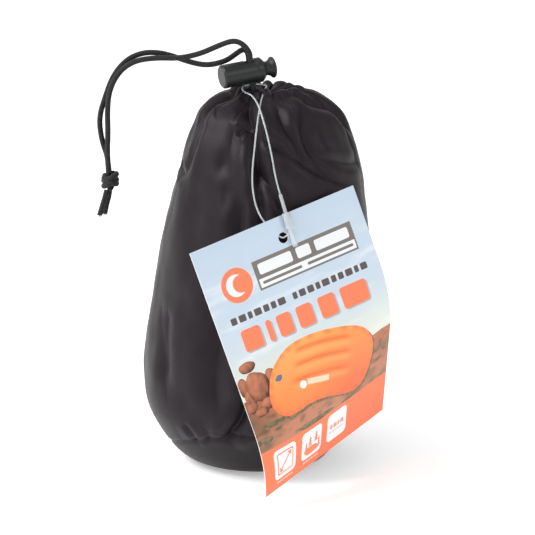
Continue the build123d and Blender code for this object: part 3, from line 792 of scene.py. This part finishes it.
def tag_print():
    """(outline, ink) of each printed shape, from the bottom layer to the top one."""
    w, h = CARD_WIDTH, CARD_HEIGHT
    shapes = [([(0, 0), (w, 0), (w, h), (0, h)], sky_ink)]
    fall = HORIZON_RIGHT - HORIZON_LEFT
    skyline = [(x, HORIZON_LEFT + fall * x / w + 0.7 * (cloudy(x, 0, 6.0, 1.0) - 0.5))
               for x in np.linspace(0, w, 40)]
    hills = [(x, y - 2.2 * float(smoothstep(60, 84, x)) - 0.8 * cloudy(x, 3, 5.0, 2.0)) for x, y in skyline]
    shapes.append((hills + [(w, 80), (0, 80)], far_hill_ink))
    shapes.append((skyline + [(w, BAND_TOP), (0, BAND_TOP)], ground_ink))
    for x, y, wide, high, seed in SCRUB:
        shapes.append((lump_outline(x, y, wide, high, seed), scrub_ink))
    for x, y, wide, high, seed in BOULDERS:
        shapes.append((lump_outline(x, y, wide, high, seed), boulder_ink(x, y, wide, high)))
    shadow = [(x + 1.2, y + 1.4) for x, y in PILLOW_OUTLINE]
    shapes.append((shadow, scrub_ink))
    shapes.append((PILLOW_OUTLINE, pillow_ink))
    shapes.append((smooth_outline([(18.6, 68.6), (20.2, 66.7), (22.6, 67.0), (21.4, 69.2)], 20),
                   plain((0.150, 0.170, 0.270))))
    shapes.append((circle_outline(31.5, 75.3, 1.9, 20), plain(INK_WHITE)))
    shapes.append(([(34.3, 73.6), (46.4, 76.3), (46.0, 79.0), (33.8, 76.3)], plain((0.98, 0.70, 0.50))))
    # Grey panel of two lines, and its round badge with a moon
    shapes.append((box_outline(27.0, 14.5, 81.5, 28.1), plain(PANEL_GREY)))
    shapes += [(box_outline(left, 16.3, right, 21.4, 0.9, 3), plain(INK_WHITE))
               for left, right in ((29.4, 47.6), (50.2, 57.8), (60.4, 79.0))]
    shapes.append((box_outline(27.9, 23.1, 80.7, 27.2), plain(INK_WHITE)))
    shapes += [(o, plain(PANEL_GREY)) for o in words(29.4, 79.4, 24.5, 25.8, [1, 1], 0.0, 3.2, 0.5)]
    shapes.append((circle_outline(16.7, 21.5, 8.0), plain(TITLE_ORANGE)))
    moon = arc_points(16.2, 21.5, 5.1, 50, 310, 30)
    bite = arc_points(18.6, 21.5, 4.0, 282, 78, 24)
    shapes.append((moon + bite, plain(INK_WHITE)))
    # The two title lines
    shapes += [(o, plain(TEXT_GREY)) for o in words(7.6, 82.6, 34.6, 37.8, [7, 10], 1.2, 4.2, 0.5)]
    title = [box_outline(left, 41.4, right, 51.6, 1.5) for left, right in TITLE_BLOCKS]
    shapes += [([(x + 0.7, y + 0.7) for x, y in o], plain((0.42, 0.47, 0.53))) for o in title]
    shapes += [(o, plain(TITLE_ORANGE)) for o in title]
    # The orange band and its three pictograms
    shapes.append(([(0, BAND_TOP), (w, BAND_TOP), (w, h), (0, h)], band_ink))
    white = plain(INK_WHITE)
    orange = plain(TITLE_ORANGE)
    for left in (6.6, 25.6, 44.6):
        shapes.append((box_outline(left, 98.9, left + 14.6, 114.3, 2.4), white))
    shapes.append((box_outline(8.5, 100.9, 19.3, 112.3, 1.0), orange))
    shapes.append((box_outline(9.2, 101.6, 18.6, 111.6, 0.6), white))
    shapes.append(([(10.2, 110.0), (17.0, 102.4), (17.6, 103.0), (10.8, 110.6)], orange))
    shapes.append(([(15.4, 102.2), (17.9, 102.1), (17.8, 104.8)], orange))
    shapes.append(([(10.0, 108.2), (12.4, 111.0), (9.8, 111.1)], orange))
    for x, top, wide in ((29.0, 104.6, 2.6), (31.8, 102.0, 3.0), (36.2, 101.2, 3.2), (38.4, 105.0, 2.2)):
        for k in range(3):
            y = top + 1.7 * k
            reach = wide / 2 * (0.6 + 0.2 * k)
            shapes.append(([(x, y), (x + reach, y + 2.6), (x - reach, y + 2.6)], orange))
    mound = [(27.6, 109.8), (31, 108.4), (36, 109.0), (38.8, 111.2), (36, 112.4), (30, 112.6)]
    shapes.append((smooth_outline(mound, 30), orange))
    shapes += [(o, plain((0.80, 0.35, 0.22))) for o in words(46.8, 57.0, 105.2, 107.6, [4], 0.7, 0.0, 0.3)]
    shapes += [(o, plain((0.80, 0.50, 0.40))) for o in words(46.8, 57.0, 109.0, 109.9, [6], 0.5, 0.0, 0.2)]
    for left in (8.4, 27.2):
        shapes += [(o, plain((1.0, 0.62, 0.48)))
                   for o in words(left, left + 11, 115.6, 116.5, [6], 0.5, 0.0, 0.2)]
    return shapes


def inside(x, y, outline):
    """Which of the points lie inside an outline."""
    result = np.zeros(len(x), bool)
    px, py = np.array(outline, float).T
    qx, qy = np.roll(px, -1), np.roll(py, -1)
    for x0, y0, x1, y1 in zip(px, py, qx, qy):
        if y0 != y1:
            crosses = (y0 > y) != (y1 > y)
            result ^= crosses & (x < (x1 - x0) * (y - y0) / (y1 - y0) + x0)
    return result


def card_mesh():
    """The card as one closed mesh, its front divided along every printed outline and across the curl."""
    points, edges = [], []

    def ring(outline):
        """One closed outline, its long edges divided so that no face grows long and thin."""
        start = len(points)
        for (x0, y0), (x1, y1) in zip(outline, outline[1:] + outline[:1]):
            parts = max(1, math.ceil(math.hypot(x1 - x0, y1 - y0) / PRINT_STEP))
            points.extend(Vector((x0 + (x1 - x0) * k / parts, y0 + (y1 - y0) * k / parts))
                          for k in range(parts))
        count = len(points) - start
        edges.extend((start + k, start + (k + 1) % count) for k in range(count))

    border = []
    w, h = CARD_WIDTH, CARD_HEIGHT
    for (x0, y0), (x1, y1) in (((0, 0), (w, 0)), ((w, 0), (w, h)), ((w, h), (0, h)), ((0, h), (0, 0))):
        steps = 40
        border += [(x0 + (x1 - x0) * k / steps, y0 + (y1 - y0) * k / steps) for k in range(steps)]
    ring(border)
    hole = circle_outline(*CARD_HOLE, CARD_HOLE_RADIUS, 40)
    ring(hole)
    shapes = tag_print()
    for outline, _ in shapes[1:]:
        ring([(min(max(x, 0), w), min(max(y, 0), h)) for x, y in outline])
    for i in range(1, int(w / PRINT_STEP)):
        for j in range(1, int(h / PRINT_STEP)):
            points.append(Vector((i * PRINT_STEP + 0.3 * (j % 2), j * PRINT_STEP)))
    verts, _, faces, _, _, _ = geometry.delaunay_2d_cdt(points, edges, [], 0, 1e-5)
    flat = np.array([tuple(v) for v in verts])
    faces = np.array([f for f in faces if len(f) == 3])
    middles = flat[faces].mean(axis=1)
    keep = inside(middles[:, 0], middles[:, 1], border) & ~inside(middles[:, 0], middles[:, 1], hole)
    area = np.cross(flat[faces[:, 1]] - flat[faces[:, 0]], flat[faces[:, 2]] - flat[faces[:, 0]])
    keep &= np.abs(area) > 1e-9
    faces, middles, area = faces[keep], middles[keep], area[keep]
    faces[area > 0] = faces[area > 0][:, ::-1]
    layer = np.zeros(len(faces), int)
    for k, (outline, _) in enumerate(shapes):
        layer[inside(middles[:, 0], middles[:, 1], outline)] = k
    used, faces = np.unique(faces, return_inverse=True)
    faces = faces.reshape(-1, 3)
    flat = flat[used]
    count = len(flat)
    places = [on_card(x, y) for x, y in flat] + [on_card(x, y, -CARD_THICKNESS) for x, y in flat]
    directed = {}
    for a, b, c in faces:
        for p, q in ((a, b), (b, c), (c, a)):
            directed[(p, q)] = True
    walls = [(q, p, p + count, q + count) for p, q in directed if (q, p) not in directed]
    all_faces = [tuple(f) for f in faces] + [tuple(f[::-1] + count) for f in faces] + walls
    card = add_mesh("tag_card_printed", places, all_faces, [CARD])
    colours = np.ones((len(card.data.loops), 4), np.float32)
    colours[:, :3] = (0.83, 0.83, 0.81)
    for k, face in enumerate(faces):
        _, ink = shapes[layer[k]]
        for c, corner in enumerate(face):
            colours[3 * k + c, :3] = ink(*flat[corner])
    attribute = card.data.attributes.new("ink", "FLOAT_COLOR", "CORNER")
    attribute.data.foreach_set("color", colours.ravel())
    sharp = {(min(p, q), max(p, q)) for a, b, c, d in walls for p, q in ((a, b), (c, d))}
    for edge in card.data.edges:
        if tuple(sorted(edge.vertices)) in sharp:
            edge.use_edge_sharp = True
    return card


def make_tag():
    card = card_mesh()
    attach(card, "card")
    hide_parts("tag_card")
    strand = spline_curve("tag_loop_filament", LOOP_ROUTE)
    strand.data.bevel_depth = STRAND_DIAMETER / 2
    strand.data.bevel_resolution = 4
    strand.data.use_fill_caps = True
    strand.data.materials.append(CLEAR)
    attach(strand, "tag_loop")
    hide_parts("tag_loop_strand")
    tuple(Vector(LOOP_ROUTE[0]) * MM)


make_tag()


# ---------------------------------------------------------------- stuff sack

# Outside of the filled sack as (radius, height), from the middle of its base up to the drawn mouth
LEFT_PROFILE = [(0, 0.0), (20, 0.0), (31, 0.3), (38.0, 2.2), (43.2, 6.0), (46.8, 10.2), (50.4, 15.4),
                (54.4, 22.5), (57.0, 29.0), (58.2, 37.0), (58.3, 47.0), (57.5, 58.0),
                (56.0, 70.0), (51.9, 91.0),
                (48.0, 113.0), (45.6, 125.0), (41.8, 139.0), (39.1, 148.0), (36.1, 156.0), (33.1, 163.0),
                (30.4, 168.8), (25.9, 172.8), (21.4, 175.3), (17.7, 176.8), (15.5, 178.5), (13.6, 180.3),
                (12.0, 180.9), (10.2, 179.8), (7.5, 178.6), (4.5, 177.6), (1.6, 177.0), (0.0, 176.9)]
RIGHT_PROFILE = [(0, 0.0), (17, 0.0), (27, 1.0), (31.4, 4.4), (35.0, 9.4), (38.6, 14.5), (42.4, 20.0),
                 (47.2, 25.8), (50.4, 32.4), (52.9, 40.0), (54.4, 48.8), (54.8, 58.8),
                 (54.3, 70.0), (52.0, 91.0),
                 (49.0, 113.0), (47.8, 125.0), (46.1, 139.0), (43.5, 148.0), (40.6, 156.0), (37.0, 163.0),
                 (33.0, 168.6), (27.4, 173.6), (21.8, 176.8), (18.0, 178.0), (16.0, 179.2), (14.2, 180.0),
                 (12.4, 180.0), (10.4, 178.9), (7.5, 178.0), (4.5, 177.3), (1.6, 177.0), (0.0, 176.9)]
SEAM_TILT_FRONT = 15.0
SEAM_HEIGHT_BACK = 8.0
RUFFLES = 15
CREASE_GAIN = 1.35
TAPE_INSET = 1.0
TAPE_THICKNESS = 0.6
TAPE_COLUMNS = 240
# Fineness of the sack's mesh, and the level at which it closes in the mouth
SACK_COLUMNS = 480
BODY_ROWS = 260
BASE_ROWS = 60
MOUTH_LEVEL = 30.6
PILLOW_VOXEL = 1.6 * MM


def profile_table(samples=900):
    """Left and right profiles and the heights that go with them, sampled at the same parameter."""
    left = catmull(LEFT_PROFILE, samples)
    right = catmull(RIGHT_PROFILE, samples)
    return left, right


PROFILE_LEFT, PROFILE_RIGHT = profile_table()
PROFILE_LAST = len(LEFT_PROFILE) - 1


def profile(turn, level):
    """(radius, height) of the smooth sack at an angle and a level, the number of the outline's point."""
    position = np.clip(level / PROFILE_LAST, 0, 1) * (len(PROFILE_LEFT) - 1)
    i = np.minimum(position.astype(int), len(PROFILE_LEFT) - 2)
    f = (position - i)[..., None]
    left = PROFILE_LEFT[i] * (1 - f) + PROFILE_LEFT[i + 1] * f
    right = PROFILE_RIGHT[i] * (1 - f) + PROFILE_RIGHT[i + 1] * f
    share = (0.5 - 0.5 * np.cos(turn))[..., None]
    both = right * (1 - share) + left * share
    return both[..., 0], both[..., 1]


def level_at(height):
    """The level of a given height on the sack's side."""
    heights = PROFILE_LEFT[:, 1]
    side = int(len(heights) * 24 / PROFILE_LAST)
    return np.interp(height, heights[:side], np.linspace(0, PROFILE_LAST, len(heights))[:side])


def ridge(x):
    """A round-topped wave with sharp valleys, from -1 to 1."""
    return 2.0 * np.sqrt(np.abs(np.sin(x / 2.0))) - 1.25


def near(turn, target):
    """Signed angle from a target angle."""
    return (turn - target + math.pi) % (2 * math.pi) - math.pi


# Creases of the cloth as (points of (degrees, height)), depth and half width in millimetres
CREASES = [
    ([(241, 178.0), (249, 175.0), (259, 167.5), (264, 154.0), (266.5, 138.0), (268, 122.0), (266, 100.0)],
     3.0, 3.0),
    ([(266, 163.0), (275, 160.0), (284, 156.5), (301, 148.0), (312, 143.0)], 1.5, 2.2),
    ([(262, 152.0), (271, 143.0), (277, 136.5), (284, 128.0)], 1.9, 2.4),
    ([(312, 176.0), (301, 167.0), (301, 158.0), (308, 148.0), (322, 140.5), (338, 136.0)], 2.0, 3.6),
    ([(306, 153.0), (320, 150.5), (335, 147.5), (352, 146.0)], 1.2, 2.4),
    ([(318, 177.0), (330, 174.5), (340, 172.5), (349, 166.0), (356, 156.0)], 2.4, 2.4),
    ([(223, 179.0), (203, 175.5), (203, 171.0), (207, 163.0), (208, 153.0), (206, 138.0)], 2.2, 3.0),
    ([(264, 50.0), (261, 42.0), (257, 32.0), (252, 25.5), (248, 20.5)], 3.0, 3.4),
    ([(203, 84.0), (212, 58.0), (219, 33.0)], 0.7, 6.0),
    ([(257, 106.0), (252, 86.0), (247, 66.0), (245.5, 50.0), (249, 36.0)], 2.0, 6.0),
    ([(212, 80.0), (213.5, 62.0), (214, 44.0)], 1.1, 4.0),
    ([(246, 163.5), (252, 166.5), (259, 165.5)], 1.7, 2.0),
    ([(226, 28.0), (230, 22.0), (229, 17.5)], 0.7, 1.8),
    ([(241, 27.0), (240, 24.0), (238, 20.0)], 0.4, 1.4),
    ([(283, 176.0), (286, 168.0), (292, 160.0), (296, 148.0)], 1.8, 2.6),
    ([(258, 138.0), (256, 120.0), (258, 104.0)], 1.6, 4.0),
    ([(183, 146.0), (194, 142.5), (206, 141.0)], 1.3, 2.2),
    # Round the back, where similar folds hang from the mouth
    ([(95, 176.0), (88, 166.0), (85, 148.0), (90, 120.0)], 2.8, 3.4),
    ([(60, 176.0), (52, 164.0), (55, 145.0), (64, 128.0)], 2.4, 3.4),
    ([(130, 176.0), (138, 163.0), (132, 142.0), (126, 118.0)], 2.4, 3.6),
    ([(20, 175.0), (24, 162.0), (18, 142.0)], 2.0, 3.4),
    ([(160, 176.0), (166, 164.0), (160, 144.0), (166, 112.0)], 2.2, 3.6),
    ([(100, 120.0), (86, 106.0), (70, 98.0)], 1.4, 3.4),
    ([(120, 44.0), (110, 32.0), (104, 20.0)], 1.8, 4.4),
    ([(40, 48.0), (48, 34.0), (46, 22.0)], 1.8, 4.6),
    ([(345, 60.0), (338, 40.0), (330, 26.0)], 1.2, 5.0),
]


# Soft hollows between the creases as (degrees, height), depth, half width and half height
HOLLOWS = [((250, 162.0), 1.7, 4.5, 7.0), ((240, 150.0), 1.4, 3.6, 5.0), ((246, 135.0), 1.1, 3.6, 6.0),
           ((226, 120.0), 0.9, 7.0, 18.0), ((238, 92.0), 0.8, 6.0, 22.0), ((231, 40.0), 0.9, 8.0, 12.0),
           ((290, 120.0), 1.0, 7.0, 12.0), ((70, 80.0), 1.4, 12.0, 20.0), ((140, 70.0), 1.3, 12.0, 22.0),
           ((20, 100.0), 1.2, 9.0, 20.0)]


def crease_depth(turn, height, radius, line, depth, half_width):
    """How far a crease presses the cloth in, with a low crest on each side."""
    path = catmull([(math.radians(a), h) for a, h in line], 60)
    best = np.full(turn.shape, 1e9)
    place = np.zeros(turn.shape)
    for k, (angle, level) in enumerate(path):
        distance = np.hypot(near(turn, angle) * np.maximum(radius, 12.0), height - level)
        closer = distance < best
        best = np.where(closer, distance, best)
        place = np.where(closer, k / (len(path) - 1), place)
    ends = smoothstep(0.0, 0.22, place + 0.02) * smoothstep(0.0, 0.3, 1.02 - place)
    valley = 0.5 * np.exp(-(best / half_width) ** 2) + 0.5 * np.exp(-best / (0.4 * half_width))
    crest = np.exp(-((best - 2.1 * half_width) / (1.1 * half_width)) ** 2)
    return CREASE_GAIN * ends * depth * (valley - 0.30 * crest)


def hollow_depth(turn, height, radius, place, depth, half_width, half_height):
    across = near(turn, math.radians(place[0])) * radius / half_width
    return depth * np.exp(-across ** 2 - ((height - place[1]) / half_height) ** 2)


def sack_surface(turn, level):
    """Places on the sack's cloth, in millimetres, for arrays of angles and levels."""
    radius, height = profile(turn, level)
    step = 0.05
    r0, z0 = profile(turn, level - step)
    r1, z1 = profile(turn, level + step)
    out_r, out_z = z1 - z0, -(r1 - r0)
    size = np.maximum(np.hypot(out_r, out_z), 1e-9)
    out_r, out_z = out_r / size, out_z / size
    # Gathers, which fan out from the drawn hem and merge as they run down the shoulder
    wander = (turn + 0.10 * np.sin(3 * turn + 0.7) + 0.07 * np.sin(5 * turn + 2.0)
              + 0.04 * np.sin(8 * turn + 1.0))
    tight = smoothstep(19.5, 24.5, level)
    loose = smoothstep(14.0, 20.5, level) * (1 - smoothstep(23.5, 26.0, level))
    amount = 0.75 + 0.25 * np.sin(2 * turn + 1.3)
    push = (1.35 * tight * ridge(RUFFLES * wander) * (0.6 + 0.4 * smoothstep(23, 25, level))
            * (1 - smoothstep(29, 31, level)))
    push += 1.15 * loose * amount * ridge(7 * wander + 0.8 + 0.05 * level)
    push += 0.55 * smoothstep(9.0, 18.0, level) * (1 - tight) * np.sin(5 * wander + 2.2)
    # Puckers above the base seam
    seam = seam_level(turn)
    above = level - seam
    puckers = np.exp(-np.maximum(above, 0) / 0.9) * (above >= 0)
    push += 0.34 * puckers * ridge(31 * turn + 3.0 * np.sin(5 * turn)) * (0.6 + 0.4 * np.sin(3 * turn + 1.0))
    # The seam itself pulls in
    push -= 0.9 * np.exp(-(above / 0.16) ** 2)
    for line, depth, half_width in CREASES:
        push -= crease_depth(turn, height, radius, line, depth, half_width)
    for place, depth, half_width, half_height in HOLLOWS:
        push -= hollow_depth(turn, height, radius, place, depth, half_width, half_height)
    soft = np.array([noise.fractal(Vector((1.6 * math.cos(t), 1.6 * math.sin(t), z / 42.0)), 0.9, 2.0, 3)
                     for t, z in zip(turn.ravel(), height.ravel())]).reshape(turn.shape)
    push += 1.2 * soft * smoothstep(5.0, 10.0, level) * (1 - smoothstep(21, 24, level))
    r = np.maximum(radius + out_r * push, 0.0)
    z = height + out_z * push
    z = np.maximum(z, 0.0)
    shift = smoothstep(20.0, 25.0, level)
    return np.stack([r * np.cos(turn) + 0.6 * shift, r * np.sin(turn) - 2.0 * shift, z], axis=-1)


def seam_level(turn):
    """The level of the seam between base and body: it rises towards the front."""
    front = np.maximum(-np.sin(turn), 0.0) ** 2
    return level_at(SEAM_HEIGHT_BACK + 1.8 * (0.5 - 0.5 * np.cos(turn)) + SEAM_TILT_FRONT * front)


def sack_grid(columns, rows, low, high, ease=1.0):
    """A grid of places between two levels, either of which may change round the sack."""
    turn = np.arange(columns) * 2 * math.pi / columns
    share = (np.linspace(0, 1, rows) ** ease)[:, None]
    level = low(turn)[None, :] * (1 - share) + high(turn)[None, :] * share
    return sack_surface(np.broadcast_to(turn, level.shape).copy(), level)


def flat_level(value):
    return lambda turn: np.full(turn.shape, float(value))


def cap_grid(grid, first):
    """Vertices and faces of a grid, closed with a fan at its first or last row."""
    rows, columns = grid.shape[:2]
    points = grid.reshape(-1, 3) * MM
    faces = grid_faces(rows, columns)
    if first:
        faces = [tuple(range(columns))[::-1]] + faces
    else:
        faces = faces + [tuple(range((rows - 1) * columns, rows * columns))]
    return points, faces


def inset(points, amount):
    """The same places, moved towards the sack's axis."""
    radius = np.maximum(np.hypot(points[:, 0], points[:, 1]), 1e-6)
    factor = (np.maximum(radius - amount, 0.0) / radius)[:, None]
    return points * np.concatenate([factor, factor, np.ones_like(factor)], axis=1)


def seam_tape(node, first, second, closed):
    """Binding inside the cloth between two lines, each given as (angles, levels)."""
    one, other = sack_surface(*first), sack_surface(*second)
    section = [inset(one, TAPE_INSET), inset(other, TAPE_INSET),
               inset(other, TAPE_INSET + TAPE_THICKNESS), inset(one, TAPE_INSET + TAPE_THICKNESS)]
    points = np.stack(section, axis=1).reshape(-1, 3) * MM
    count = len(one)
    faces = grid_faces(count, 4)
    if closed:
        faces += [((count - 1) * 4 + j, (count - 1) * 4 + (j + 1) % 4, (j + 1) % 4, j) for j in range(4)]
    else:
        faces += [(3, 2, 1, 0), tuple(range((count - 1) * 4, count * 4))]
    tape = add_mesh(node + "_sewn", points, faces, [TAPE], smooth=False)
    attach(tape, "sack")
    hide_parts(node)


def rolled_panel(node):
    """One face of the rolled pillow, softened and drawn in where the sack rounds off below and above."""
    panel = bpy.data.objects.new(node + "_rolled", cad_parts[node].data.copy())
    bpy.context.scene.collection.objects.link(panel)
    remesh = panel.modifiers.new("remesh", "REMESH")
    remesh.mode = "VOXEL"
    remesh.voxel_size = PILLOW_VOXEL
    graph = bpy.context.evaluated_depsgraph_get()
    mesh = bpy.data.meshes.new_from_object(panel.evaluated_get(graph))
    panel.modifiers.clear()
    panel.data = mesh
    places = np.empty(len(mesh.vertices) * 3)
    mesh.vertices.foreach_get("co", places)
    places = places.reshape(-1, 3) / MM
    below = np.clip(1 - places[:, 2] / 26.0, 0, 1) ** 1.5
    above = np.clip((places[:, 2] - 108.0) / 21.0, 0, 1) ** 1.5
    wrinkle = np.array([noise.noise(Vector(p) / 9.0) for p in places])
    scale = (1 - 0.56 * below - 0.12 * above + 0.006 * wrinkle)[:, None]
    places = places * np.concatenate([scale, scale, np.ones_like(scale)], axis=1)
    mesh.vertices.foreach_set("co", (places * MM).ravel())
    mesh.materials.clear()
    mesh.materials.append(PILLOW)
    mesh.polygons.foreach_set("use_smooth", [True] * len(mesh.polygons))
    mesh.update()
    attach(panel, "sack")
    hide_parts(node)


def make_sack():
    body = sack_grid(SACK_COLUMNS, BODY_ROWS, seam_level, flat_level(MOUTH_LEVEL))
    points, faces = cap_grid(body, first=False)
    cloth = add_mesh("sack_cloth_body", points, faces, [SACK_CLOTH])
    base = sack_grid(SACK_COLUMNS, BASE_ROWS, flat_level(0.4), seam_level)
    points, faces = cap_grid(base, first=True)
    panel = add_mesh("sack_cloth_base", points, faces, [SACK_CLOTH])
    for piece, nodes in ((cloth, ("sack_body", "cord_channel")), (panel, ("sack_base",))):
        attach(piece, "sack")
        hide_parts(*nodes)
    turn = np.arange(TAPE_COLUMNS) * 2 * math.pi / TAPE_COLUMNS
    seam_tape("base_seam_tape", (turn, seam_level(turn) + 0.1), (turn, seam_level(turn) + 0.55), closed=True)
    level = np.linspace(level_at(27.0), level_at(165.0), 160)
    side = np.full(level.shape, math.pi / 2)
    seam_tape("side_seam_tape", (side + 0.06, level), (side - 0.06, level), closed=False)
    rolled_panel("pillow_bottom_panel")
    rolled_panel("pillow_top_panel")


make_sack()
